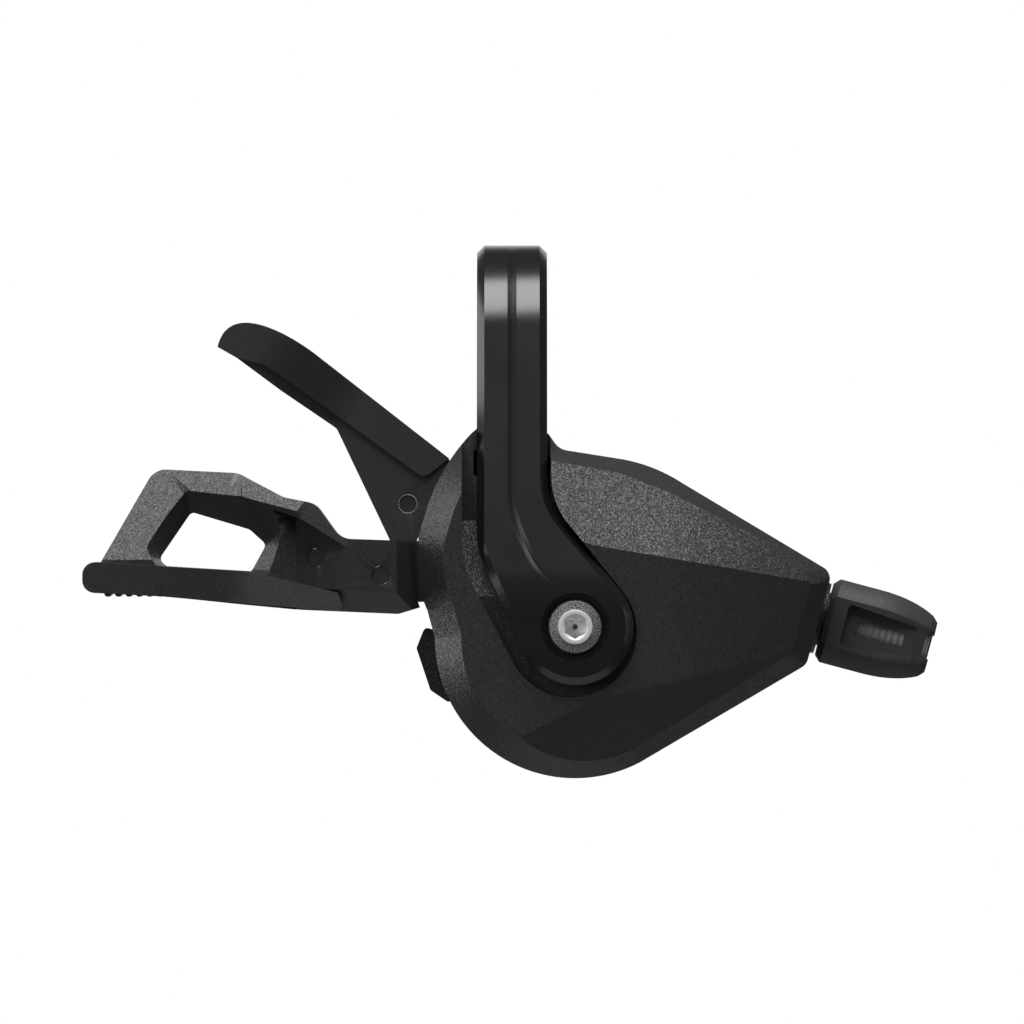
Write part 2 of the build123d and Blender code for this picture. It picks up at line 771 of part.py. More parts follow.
# Washers on the shaft, from the levers to the base plate
washer_spans = [
    (release_front + running_fit, main_back - running_fit),
    (frame_front, release_back - running_fit),
    (ratchet_front + running_fit, frame_back),
    (base_front, drum_back - running_fit),
]
with BuildPart() as shaft_washers:
    for start, end in washer_spans:
        extrude(rings(pivot, washer_radius, shaft_radius + fit, start), amount=end - start)
shaft_washers.part.label = "shaft_washers"

# Main lever plate: a long arm for the pad and a tail for the drive pawl's pin
near_rivet = (main_rivets[0], main_arm_ends[0])
main_arm = [[(pivot, hub_radius), near_rivet], [near_rivet, (main_rivets[1], main_arm_ends[1])]]
with BuildPart() as main_lever_plate:
    for circles in main_arm:
        extrude(hull_of(circles, main_back), amount=main_thickness)
    extrude(hull_of([(pivot, tail_root), (drive_pin, tail_end)], main_back), amount=main_thickness)
    extrude(discs([pivot], shaft_radius + running_fit, main_back), amount=main_thickness, mode=Mode.SUBTRACT)
    extrude(discs([drive_pin], pawl_pin_radius + fit, main_back), amount=main_thickness, mode=Mode.SUBTRACT)
    extrude(discs(main_rivets, rivet_radius + fit, main_back), amount=main_thickness, mode=Mode.SUBTRACT)
main_lever_plate.part.label = "main_lever_plate"

def pad_outline(depth):
    """Front outline of the pad without its thumb bar."""
    root_high = polar(pivot, pad_root_radius, 180 - pad_root_span[1])
    root_low = polar(pivot, pad_root_radius, 180 - pad_root_span[0])
    with BuildSketch(level(depth)) as outline:
        with BuildLine():
            ThreePointArc(root_high, (pivot[0] - pad_root_radius, pivot[1]), root_low)
            FilletPolyline(root_low, *pad_lower, pad_corner, radius=pad_lower_round)
            FilletPolyline(pad_corner, *pad_upper, root_high, radius=pad_upper_round)
        make_face()
    return outline.sketch


def raised_frame(span):
    """Raised part of the pad, which comes forward between two distances from the clamp."""
    with BuildPart() as frame:
        extrude(pad_outline(main_front), amount=strut_front - main_front)
        with BuildSketch(Plane.XY.offset(-2 * side_reach)):
            with BuildLine():
                Polyline(
                    (span[0], -main_front),
                    (span[0], -arm_front),
                    (span[1], -strut_front),
                    (-2 * side_reach, -strut_front),
                    (-2 * side_reach, -paddle_back),
                    (paddle_step, -paddle_back),
                    (paddle_step, -main_front),
                    close=True,
                )
            make_face()
        extrude(amount=4 * side_reach, mode=Mode.INTERSECT)
        left = Vector(bar_nose[0][0], -strut_front, frame_crease)
        right = Vector(bar_fade, -strut_front, frame_crease)
        split(bisect_by=facet(left, right, frame_slope), keep=Keep.BOTTOM)
    return frame.part


# Main lever pad: bevelled arm, window frame with its upper rib, thumb bar with grip ribs underneath
with BuildPart() as pad_arm:
    extrude(pad_outline(main_back), amount=arm_front - main_back)
    split(bisect_by=Plane.YZ.offset(paddle_step), keep=Keep.TOP)
    end_crease = [(pad_end_bevel, 0), (pad_end_bevel, foot_bottom)]
    for start, end in [end_crease, pad_low_crease]:
        high = Vector(start[0], -arm_front, start[1])
        low = Vector(end[0], -arm_front, end[1])
        split(bisect_by=facet(high, low, pad_bevel_slope), keep=Keep.BOTTOM)

with BuildPart() as pad_rib:
    add(raised_frame(rib_span))
    with BuildSketch(level(main_front)):
        with BuildLine():
            Polyline(*rib_outline, close=True)
        make_face()
    extrude(amount=strut_front - main_front, mode=Mode.INTERSECT)

with BuildPart() as pad_window:
    for outline, depth in [(window_back, paddle_back), (window_front, strut_front)]:
        with BuildSketch(level(depth)):
            with BuildLine():
                FilletPolyline(*outline, radius=window_round, close=True)
            make_face()
    loft(ruled=True)

with BuildPart() as thumb_bar:
    with BuildSketch(level(main_front)):
        with BuildLine():
            FilletPolyline(bar_end[2], *bar_outline, bar_end[0], radius=bar_round)
            Polyline(*bar_end)
        make_face()
    extrude(amount=bar_front - main_front)
    nose = [(along, -main_front - lift) for along, lift in bar_nose]
    with BuildSketch(Plane.XY.offset(-2 * side_reach)):
        with BuildLine():
            nose_root = (bar_nose[0][0], -paddle_back)
            FilletPolyline(nose_root, *nose, (bar_fade, -arm_front), radius=bar_plan_round)
            Polyline(
                (bar_fade, -arm_front),
                (bar_fade, -main_front),
                (paddle_step, -main_front),
                (paddle_step, -paddle_back),
                nose_root,
            )
        make_face()
    extrude(amount=4 * side_reach, mode=Mode.INTERSECT)
    rib_places = [(rib_start + rib_pitch * rib, rib_height) for rib in range(rib_count)]
    extrude(discs(rib_places, rib_radius, paddle_back + rib_margin), amount=rib_length)

with BuildPart() as main_lever_pad:
    add(pad_arm.part)
    add(raised_frame(shoulder_span))
    add(pad_rib.part)
    add(pad_window.part, mode=Mode.SUBTRACT)
    add(thumb_bar.part)
    for circles in main_arm:
        extrude(hull_of(circles, main_back), amount=main_thickness, mode=Mode.SUBTRACT)
    extrude(discs(main_rivets, rivet_radius + fit, main_front), amount=side_reach, mode=Mode.SUBTRACT)
main_lever_pad.part.label = "main_lever_pad"

# Rivets that hold the pad on its plate
with BuildPart() as main_lever_rivets:
    extrude(discs(main_rivets, rivet_radius, main_back), amount=arm_front - rivet_sink - main_back)
main_lever_rivets.part.label = "main_lever_rivets"

# Drive pawl's pin on the main lever, and the pawl
with BuildPart() as drive_pawl_pin:
    pin_end = ratchet_back + lever_gap / 2
    extrude(discs([drive_pin], pawl_pin_radius, pin_end), amount=main_front - pin_end)
drive_pawl_pin.part.label = "drive_pawl_pin"


def pawl(pin, nose):
    """Pawl cut from plate: an eye for its pin and a narrow nose."""
    with BuildPart() as blank:
        start = ratchet_back + lever_gap / 2
        extrude(hull_of([(pin, neck_half), (nose, nose_radius)], start), amount=pawl_thickness)
        extrude(discs([pin], eye_radius, start), amount=pawl_thickness)
        extrude(discs([pin], pawl_pin_radius + running_fit, start), amount=pawl_thickness, mode=Mode.SUBTRACT)
    return blank.part


with BuildPart() as drive_pawl:
    add(pawl(drive_pin, drive_nose_rest))
drive_pawl.part.label = "drive_pawl"

with BuildPart() as hold_pawl:
    add(pawl(hold_pin, hold_nose_rest))
hold_pawl.part.label = "hold_pawl"

# Post of the hold pawl, riveted into the frame plate
with BuildPart() as hold_pawl_post:
    extrude(discs([hold_pin], pawl_pin_radius, ratchet_back), amount=frame_front - ratchet_back)
    head_start = ratchet_back - pawl_head_height
    extrude(discs([hold_pin], pawl_head_radius, head_start), amount=pawl_head_height)
hold_pawl_post.part.label = "hold_pawl_post"

# Ratchet wheel: each gap is deep at its clockwise end
steep = drive_nose - degrees((nose_radius + nose_clear) / nose_seat)
with BuildPart() as ratchet_wheel:
    extrude(discs([pivot], tooth_tip, ratchet_back), amount=ratchet_thickness)
    with BuildSketch(level(ratchet_back)):
        for step in range(step_count):
            deep = steep + step * tooth_pitch
            with BuildLine():
                Polyline(
                    polar(pivot, tooth_tip - tooth_height, deep),
                    polar(pivot, 2 * tooth_tip, deep),
                    polar(pivot, 2 * tooth_tip, deep + tooth_pitch),
                    polar(pivot, tooth_tip, deep + tooth_pitch),
                    close=True,
                )
            make_face()
    extrude(amount=ratchet_thickness, mode=Mode.SUBTRACT)
    ratchet_bore = discs([pivot], shaft_radius + running_fit, ratchet_back)
    extrude(ratchet_bore, amount=ratchet_thickness, mode=Mode.SUBTRACT)
ratchet_wheel.part.label = "ratchet_wheel"

# Wire drum: two flanges with the cable's groove between them, and a pocket for the cable's end
with BuildPart() as wire_drum:
    with BuildSketch(Plane.XY.offset(pivot[1])):
        with BuildLine():
            Polyline(
                (pivot[0] + shaft_radius + running_fit, -drum_back),
                (pivot[0] + drum_radius, -drum_back),
                (pivot[0] + drum_radius, groove_width / 2 - cable_depth),
                (pivot[0] + groove_radius, groove_width / 4 - cable_depth),
                (pivot[0] + groove_radius, -groove_width / 4 - cable_depth),
                (pivot[0] + drum_radius, -groove_width / 2 - cable_depth),
                (pivot[0] + drum_radius, -ratchet_back),
                (pivot[0] + shaft_radius + running_fit, -ratchet_back),
                close=True,
            )
        make_face()
    revolve(axis=Axis((pivot[0], 0, pivot[1]), (0, 1, 0)))
    nipple_place = polar(pivot, nipple_reach, nipple_angle)
    extrude(discs([nipple_place], nipple_radius, drum_back), amount=nipple_depth, mode=Mode.SUBTRACT)
wire_drum.part.label = "wire_drum"

# Drum spring: a spiral strip of half circles that grow by half a pitch
with BuildPart() as drum_spring:
    with BuildSketch(level(base_front + spring_gap)):
        with BuildLine():
            for turn in range(spring_half_turns):
                radius = spring_inner + spring_pitch * turn / 2
                shift = 0 if turn % 2 == 0 else spring_pitch / 2
                start = 0 if turn % 2 == 0 else 180
                CenterArc((pivot[0] - shift, pivot[1]), radius, start, 180)
        trace(line_width=spring_strip)
    extrude(amount=drum_back - base_front - 2 * spring_gap)
drum_spring.part.label = "drum_spring"


def ring_spring(radius, start, sweep_angle):
    """Return spring of bent wire round the shaft, with a short leg at each end."""
    depth = (release_front + main_back) / 2
    with BuildPart() as coil:
        with BuildLine(level(depth)) as wire:
            turn = CenterArc(pivot, radius, start, sweep_angle)
            Line(turn @ 1, turn @ 1 + (turn % 1) * spring_leg)
        with BuildSketch(Plane(origin=wire.line @ 0, z_dir=wire.line % 0)):
            Circle(wire_radius)
        sweep(path=wire.line)
    return coil.part


with BuildPart() as main_lever_spring:
    add(ring_spring(main_spring_radius, *main_spring_span))
main_lever_spring.part.label = "main_lever_spring"

with BuildPart() as release_lever_spring:
    add(ring_spring(release_spring_radius, *release_spring_span))
release_lever_spring.part.label = "release_lever_spring"

# Release lever plate
blade_root = polar(pivot, blade_plate_reach, 180 - blade_angle)
release_arm = [(pivot, hub_radius), (release_rivet, release_arm_ends[0]), (blade_root, release_arm_ends[1])]
with BuildPart() as release_lever_plate:
    extrude(hull_of(release_arm, release_back), amount=release_thickness)
    shaft_hole = discs([pivot], shaft_radius + running_fit, release_back)
    extrude(shaft_hole, amount=release_thickness, mode=Mode.SUBTRACT)
    rivet_hole = discs([release_rivet], rivet_radius + fit, release_back)
    extrude(rivet_hole, amount=release_thickness, mode=Mode.SUBTRACT)
release_lever_plate.part.label = "release_lever_plate"

# Release lever pad: a blade that lies low at its root and rises to a finger tip
blade_run = (-cos(radians(blade_angle)), 0, sin(radians(blade_angle)))
blade_up = (sin(radians(blade_angle)), 0, cos(radians(blade_angle)))
blade_side = Plane(origin=(pivot[0], 0, pivot[1]), x_dir=blade_run, z_dir=blade_up)


def blade(lower_edge, front):
    """Part of the blade above a lower edge, up to a front level that rises with the tip."""
    with BuildPart() as form:
        with BuildSketch(level(blade_back)):
            with BuildLine():
                Line(blade_root_top, blade_top)
                Spline(blade_top, *blade_crest, blade_tip)
                Line(blade_tip, lower_edge[0])
                FilletPolyline(*lower_edge, blade_root_top, radius=blade_round)
            make_face()
        extrude(amount=front + tip_lift - blade_back)
        with BuildSketch(blade_side.offset(-side_reach)):
            with BuildLine():
                for start in (blade_back, front):
                    FilletPolyline(
                        (0, start),
                        (blade_rise[0], start),
                        (blade_rise[1], start + tip_lift),
                        (2 * side_reach, start + tip_lift),
                        radius=blade_bend_round,
                    )
                Line((0, blade_back), (0, front))
                Line((2 * side_reach, blade_back + tip_lift), (2 * side_reach, front + tip_lift))
            make_face()
        extrude(amount=2 * side_reach, mode=Mode.INTERSECT)
    return form.part


with BuildPart() as release_lever_pad:
    add(blade(blade_chin + blade_lower, web_front))
    add(blade(blade_valley, blade_front))
    extrude(hull_of(release_arm, blade_back), amount=release_front - blade_back, mode=Mode.SUBTRACT)
    extrude(discs([release_rivet], rivet_radius + fit, blade_back), amount=side_reach, mode=Mode.SUBTRACT)
release_lever_pad.part.label = "release_lever_pad"

# Rivet of the release lever
with BuildPart() as release_lever_rivet:
    extrude(discs([release_rivet], rivet_radius, release_back), amount=web_front - rivet_sink - release_back)
release_lever_rivet.part.label = "release_lever_rivet"

def sleeve_side(plane, growth):
    """Half of the sleeve's side view, above the cable's axis."""
    with BuildSketch(plane) as side:
        with BuildLine():
            Polyline(
                (sleeve_start, 0),
                (sleeve_start, growth * (sleeve_half - sleeve_bevel)),
                (sleeve_start + sleeve_bevel, growth * sleeve_half),
                (sleeve_straight, growth * sleeve_half),
            )
            Spline(
                (sleeve_straight, growth * sleeve_half),
                (sleeve_length - sleeve_bevel, growth * sleeve_end_half),
                tangents=[(1, 0), (2, -1)],
            )
            Polyline(
                (sleeve_length - sleeve_bevel, growth * sleeve_end_half),
                (sleeve_length, growth * (sleeve_end_half - sleeve_bevel)),
                (sleeve_length, 0),
                (sleeve_start, 0),
            )
        make_face()
    return side.sketch


def sleeve_slab(plane):
    """Sleeve's whole side view, drawn through in the direction the plane faces."""
    with BuildPart() as slab:
        extrude(sleeve_side(plane.offset(-2 * sleeve_half), 1), amount=4 * sleeve_half)
        mirror(about=Plane(origin=plane.origin, x_dir=plane.x_dir, z_dir=plane.y_dir))
    return slab.part


# Adjuster sleeve: a grip of rounded square section with a slot that shows the barrel
sleeve_up = (sin(radians(adjuster_tilt)), 0, cos(radians(adjuster_tilt)))
with BuildPart() as adjuster_sleeve:
    add(sleeve_slab(adjuster_plane))
    add(sleeve_slab(Plane(origin=adjuster_origin, x_dir=adjuster_run, z_dir=sleeve_up)), mode=Mode.INTERSECT)
    revolve(sleeve_side(adjuster_plane, sleeve_corner), axis=adjuster_axis, mode=Mode.INTERSECT)
    with BuildSketch(along_cable(neck_end - click_seat + click_length + running_fit)):
        Circle(sleeve_spigot_radius)
    extrude(amount=click_seat)
    with BuildSketch(along_cable(-sleeve_length)):
        Circle(barrel_radius + running_fit)
    extrude(amount=2 * sleeve_length, mode=Mode.SUBTRACT)
    with BuildSketch(adjuster_plane.offset(sleeve_half - panel_depth)):
        with BuildLine():
            FilletPolyline(
                (panel_span[0], panel_halves[0]),
                (panel_span[1], panel_halves[1]),
                (panel_span[1], -panel_halves[1]),
                (panel_span[0], -panel_halves[0]),
                radius=panel_round,
                close=True,
            )
        make_face()
    extrude(amount=sleeve_half, mode=Mode.SUBTRACT)
    with BuildSketch(adjuster_plane):
        with Locations(((slot_reach[0] + slot_reach[1]) / 2, 0)):
            Rectangle(slot_reach[1] - slot_reach[0], slot_width)
        with Locations((notch_start + barrel_radius, 0)):
            Rectangle(2 * barrel_radius, notch_width)
    extrude(amount=2 * sleeve_half, mode=Mode.SUBTRACT)
adjuster_sleeve.part.label = "adjuster_sleeve"

# Adjuster barrel: a threaded tube with the seat of the cable's outer casing
with BuildPart() as adjuster_barrel:
    with BuildSketch(along_cable(-barrel_inside)):
        Circle(barrel_radius)
        Circle(cable_radius, mode=Mode.SUBTRACT)
    extrude(amount=barrel_inside + barrel_reach)
    with BuildSketch(along_cable(barrel_reach)):
        Circle(cable_seat_radius)
    extrude(amount=-cable_seat_length, mode=Mode.SUBTRACT)
adjuster_barrel.part.label = "adjuster_barrel"

# Click spring: a flat ring between the housing's neck and the sleeve
with BuildPart() as adjuster_spring:
    with BuildSketch(along_cable(neck_end - click_seat)):
        Circle(click_radius)
        Circle(barrel_radius + running_fit, mode=Mode.SUBTRACT)
    extrude(amount=click_length)
adjuster_spring.part.label = "adjuster_spring"

# Cable guide: a bent tube from the adjuster's boss to the underside of the drum
guide_start = adjuster_plane.from_local_coords((-guide_seat, 0, 0))
guide_bend = adjuster_plane.from_local_coords((-guide_corner, 0, 0))
drum_bottom = Vector(pivot[0], -cable_depth, pivot[1] - groove_radius)
guide_end = guide_bend + (drum_bottom - guide_bend).normalized() * guide_tail
with BuildPart() as cable_guide:
    with BuildLine() as guide_path:
        FilletPolyline(guide_start, guide_bend, guide_end, radius=guide_round)
    with BuildSketch(Plane(origin=guide_path.line @ 0, z_dir=guide_path.line % 0)):
        Circle(guide_radius)
        Circle(cable_radius, mode=Mode.SUBTRACT)
    sweep(path=guide_path.line)
cable_guide.part.label = "cable_guide"

os.makedirs("parts", exist_ok=True)
for piece in [
    clamp_band, clamp_bolt, clamp_post, foot_screws, front_cover, rear_housing, cover_screws, cable_port_cap,
    frame_plate, base_plate, spacer_posts, main_shaft, shaft_washers, hold_pawl_post, drum_spring,
    main_lever_spring, release_lever_spring, cable_guide, adjuster_spring, main_lever_plate, main_lever_pad,
    main_lever_rivets, drive_pawl_pin, drive_pawl, hold_pawl, release_lever_plate, release_lever_pad,
    release_lever_rivet, ratchet_wheel, wire_drum, adjuster_sleeve, adjuster_barrel,
]:
    export_step(piece.part, f"parts/{piece.part.label}.step")
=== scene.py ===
import json
import math

import bpy
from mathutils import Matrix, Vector


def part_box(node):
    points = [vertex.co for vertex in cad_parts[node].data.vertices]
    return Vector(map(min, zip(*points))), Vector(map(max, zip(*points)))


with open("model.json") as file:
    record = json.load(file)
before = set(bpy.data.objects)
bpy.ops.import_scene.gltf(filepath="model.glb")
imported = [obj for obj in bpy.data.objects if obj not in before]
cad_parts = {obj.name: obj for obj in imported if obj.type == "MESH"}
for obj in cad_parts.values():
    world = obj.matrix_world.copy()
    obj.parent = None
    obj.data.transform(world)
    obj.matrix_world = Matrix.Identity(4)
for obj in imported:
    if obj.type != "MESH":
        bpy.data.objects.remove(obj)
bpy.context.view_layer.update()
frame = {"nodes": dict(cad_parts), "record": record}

# Studio: a long lens looks straight at the cover, as in a catalogue picture.
# The backdrop right behind the part is white; the rest of the studio is dim, so black stays black.
mm = 0.001
scene = bpy.context.scene
scene.view_settings.view_transform = "Standard"

picture_width = 124.88 * mm
picture_centre_height = -18.29 * mm
camera_distance = 1600 * mm
sensor_width = 36
camera_data = bpy.data.cameras.new("catalogue_camera")
camera_data.sensor_width = sensor_width
camera_data.lens = sensor_width * camera_distance / picture_width
camera_data.clip_start = 50 * mm
camera = bpy.data.objects.new("catalogue_camera", camera_data)
camera.location = (0, -camera_distance, picture_centre_height)
camera.rotation_euler = (math.radians(90), 0, 0)
scene.collection.objects.link(camera)
scene.camera = camera


def linear(hex_colour):
    """Linear RGBA of an sRGB hex colour."""
    channels = [int(hex_colour[i:i + 2], 16) / 255 for i in (1, 3, 5)]
    return [c / 12.92 if c <= 0.04045 else ((c + 0.055) / 1.055) ** 2.4 for c in channels] + [1]


def add_node(tree, kind, inputs=None, **settings):
    """Add a node, set its properties, and set or link its inputs."""
    node = tree.nodes.new(kind)
    for name, value in settings.items():
        setattr(node, name, value)
    for name, value in (inputs or {}).items():
        if isinstance(value, bpy.types.NodeSocket):
            tree.links.new(value, node.inputs[name])
        else:
            node.inputs[name].default_value = value
    return node


ambient = 0.09
backdrop_start, backdrop_full = 0.86, 0.94
world = bpy.data.worlds.new("white_backdrop")
world.use_nodes = True
scene.world = world
air = world.node_tree
air.nodes.clear()
rays = add_node(air, "ShaderNodeLightPath").outputs
direction = add_node(air, "ShaderNodeTexCoord")
heading = add_node(air, "ShaderNodeSeparateXYZ", {0: direction.outputs["Generated"]})
behind = add_node(air, "ShaderNodeMapRange", {0: heading.outputs["Y"], 1: backdrop_start, 2: backdrop_full})
mirrored = add_node(air, "ShaderNodeMath", {0: rays["Is Glossy Ray"], 1: behind.outputs[0]}, operation="MULTIPLY")
seen = add_node(air, "ShaderNodeMath", {0: rays["Is Camera Ray"], 1: rays["Is Transmission Ray"]},
                operation="MAXIMUM")
bright = add_node(air, "ShaderNodeMath", {0: seen.outputs[0], 1: mirrored.outputs[0]}, operation="MAXIMUM")
strength = add_node(air, "ShaderNodeMix", {0: bright.outputs[0], 2: ambient, 3: 1.0}, data_type="FLOAT")
glow = add_node(air, "ShaderNodeBackground", {"Color": linear("#ffffff"), "Strength": strength.outputs[0]})
add_node(air, "ShaderNodeOutputWorld", {"Surface": glow.outputs[0]})

# Soft boxes: a large one overhead, whose front edge leaves the faces towards the viewer dark,
# one low at the left for the rims, a narrow one at the right, and a weak one beside the camera.
# Each line gives the place and the extent in metres and the power in watts.
soft_boxes = [
    ("overhead_box", (-0.02, -0.33, 0.87), (0.80, 0.66), 11.8),
    ("left_box", (-1.02, 0.26, 0.12), (0.94, 0.80), 5.6),
    ("right_strip", (1.05, -0.35, 0.05), (0.25, 0.80), 1.0),
    ("camera_fill", (-0.90, -1.25, 0.30), (0.80, 0.60), 2.8),
]
for box_name, place, extent, power in soft_boxes:
    lamp_data = bpy.data.lights.new(box_name, "AREA")
    lamp_data.shape = "RECTANGLE"
    lamp_data.size, lamp_data.size_y = extent
    lamp_data.energy = power
    lamp = bpy.data.objects.new(box_name, lamp_data)
    lamp.location = place
    aim = Vector((0, 0, picture_centre_height)) - Vector(place)
    lamp.rotation_euler = aim.to_track_quat("-Z", "Y").to_euler()
    scene.collection.objects.link(lamp)


# Floor: a round pale matt table well below the part, out of the picture's frame.
# Towards its rim it fades into the white backdrop, so no edge shows from above.
def new_material(name):
    """A new material with its node tree, its shader and the place on the piece."""
    material = bpy.data.materials.new(name)
    material.use_nodes = True
    tree = material.node_tree
    place = add_node(tree, "ShaderNodeTexCoord").outputs["Object"]
    return material, tree, tree.nodes["Principled BSDF"], place


floor_radius = 450 * mm
floor_height = -600 * mm
floor_sides = 96
fade_start, fade_full = 0.35 * floor_radius, 0.95 * floor_radius
rim = [(floor_radius * math.cos(a), floor_radius * math.sin(a), floor_height)
       for a in (2 * math.pi * i / floor_sides for i in range(floor_sides))]
floor_mesh = bpy.data.meshes.new("table_top")
floor_mesh.from_pydata(rim, [], [list(range(floor_sides))])
floor = bpy.data.objects.new("table_top", floor_mesh)
scene.collection.objects.link(floor)
# Matt paint: two close greys in broad patches, so that the table is plain but not dead.
table_paint, table_tree, table_shader, table_place = new_material("matt_pale_table_paint")
table_shader.inputs["Roughness"].default_value = 0.8
paint_patch = 25 * mm
table_cloud = add_node(table_tree, "ShaderNodeTexNoise",
                       {"Vector": table_place, "Scale": 1 / paint_patch, "Detail": 3.0})
table_colour = add_node(table_tree, "ShaderNodeMix",
                        {0: table_cloud.outputs["Fac"], 6: linear("#c4c4c4"), 7: linear("#cccccc")},
                        data_type="RGBA")
table_tree.links.new(table_colour.outputs[2], table_shader.inputs["Base Color"])
table_plan = add_node(table_tree, "ShaderNodeVectorMath", {0: table_place, 1: (1, 1, 0)}, operation="MULTIPLY")
table_reach = add_node(table_tree, "ShaderNodeVectorMath", {0: table_plan.outputs[0]}, operation="LENGTH")
table_fade = add_node(table_tree, "ShaderNodeMapRange",
                      {0: table_reach.outputs["Value"], 1: fade_start, 2: fade_full})
table_rays = add_node(table_tree, "ShaderNodeLightPath").outputs
table_seen = add_node(table_tree, "ShaderNodeMath", {0: table_fade.outputs[0], 1: table_rays["Is Camera Ray"]},
                      operation="MULTIPLY")
table_white = add_node(table_tree, "ShaderNodeEmission", {"Color": linear("#ffffff"), "Strength": 1.0})
table_mix = add_node(table_tree, "ShaderNodeMixShader",
                     {0: table_seen.outputs[0], 1: table_shader.outputs[0], 2: table_white.outputs[0]})
table_tree.links.new(table_mix.outputs[0], table_tree.nodes["Material Output"].inputs["Surface"])
floor_mesh.materials.append(table_paint)

# Clamp band: forged aluminium strap round the handlebar, machined, bead-blasted and anodised black.
# Its arm runs down the front to the boss of the clamp bolt, and its foot is screwed to the base plate.
seam_reach = 0.002 * mm
edge_segments = 3
least_edge = math.radians(13)  # smaller folds are the facets of curved faces
corner = math.radians(32)


def dress(node_name, material, edge_round):
    """Give a CAD node its material and break its edges by a small radius."""
    piece = frame["nodes"][node_name]
    piece.data.materials.clear()
    piece.data.materials.append(material)
    for polygon in piece.data.polygons:
        polygon.use_smooth = True
    weld = piece.modifiers.new("weld_seams", "WELD")
    weld.merge_threshold = seam_reach
    if edge_round > 0:
        bevel = piece.modifiers.new("break_edges", "BEVEL")
        bevel.width = edge_round
        bevel.segments = edge_segments
        bevel.limit_method = "ANGLE"
        bevel.angle_limit = least_edge
        bevel.use_clamp_overlap = True
        bevel.miter_outer = "MITER_ARC"
    shade = piece.modifiers.new("keep_corners", "EDGE_SPLIT")
    shade.split_angle = corner
    even = piece.modifiers.new("even_shading", "WEIGHTED_NORMAL")
    even.keep_sharp = True
    return piece


def strap_groove(tree, place):
    """The groove round the ring and along the arm's bend: 1 in its middle and 0 beside it."""
    bend_top, bend_end = -16 * mm, -27 * mm
    bend_line = [(0.25, 0.06), (0.55, 0.28), (0.85, 0.62)]
    bend_shift = 5.5 * mm
    half_width = 0.55 * mm
    run_out = 7 * mm
    ring_inside, ring_middle = 12.2 * mm, 12.8 * mm
    back_edge, front_edge = 2 * mm, 0.0
    foot_edge, foot_clear = -13 * mm, -9 * mm
    axes = add_node(tree, "ShaderNodeSeparateXYZ", {0: place}).outputs
    drop = add_node(tree, "ShaderNodeMapRange", {0: axes["Z"], 1: bend_top, 2: bend_end})
    bend = add_node(tree, "ShaderNodeFloatCurve", {"Value": drop.outputs[0]})
    line = bend.mapping.curves[0]
    line.points[0].location = (0.0, 0.0)
    line.points[1].location = (1.0, 1.0)
    for down, sideways in bend_line:
        line.points.new(down, sideways)
    bend.mapping.update()
    middle = add_node(tree, "ShaderNodeMath", {0: bend.outputs[0], 1: bend_shift}, operation="MULTIPLY")
    aside = add_node(tree, "ShaderNodeMath", {0: axes["X"], 1: middle.outputs[0]}, operation="SUBTRACT")
    distance = add_node(tree, "ShaderNodeMath", {0: aside.outputs[0]}, operation="ABSOLUTE")
    groove = add_node(tree, "ShaderNodeMapRange", {0: distance.outputs[0], 1: 0.0, 2: half_width, 3: 1.0, 4: 0.0})
    above_boss = add_node(tree, "ShaderNodeMapRange", {0: axes["Z"], 1: bend_end, 2: bend_end + run_out})
    from_bar = add_node(tree, "ShaderNodeVectorMath", {0: place, 1: (0, 1, 1)}, operation="MULTIPLY")
    radius = add_node(tree, "ShaderNodeVectorMath", {0: from_bar.outputs[0]}, operation="LENGTH")
    outer_side = add_node(tree, "ShaderNodeMapRange", {0: radius.outputs["Value"], 1: ring_inside, 2: ring_middle})
    in_front = add_node(tree, "ShaderNodeMapRange", {0: axes["Y"], 1: back_edge, 2: front_edge})
    above_foot = add_node(tree, "ShaderNodeMapRange", {0: axes["Z"], 1: foot_edge, 2: foot_clear})
    off_foot = add_node(tree, "ShaderNodeMath", {0: in_front.outputs[0], 1: above_foot.outputs[0]},
                        operation="MAXIMUM")
    for limit in (above_boss, outer_side, off_foot):
        groove = add_node(tree, "ShaderNodeMath", {0: groove.outputs[0], 1: limit.outputs[0]},
                          operation="MULTIPLY")
    return groove.outputs[0]


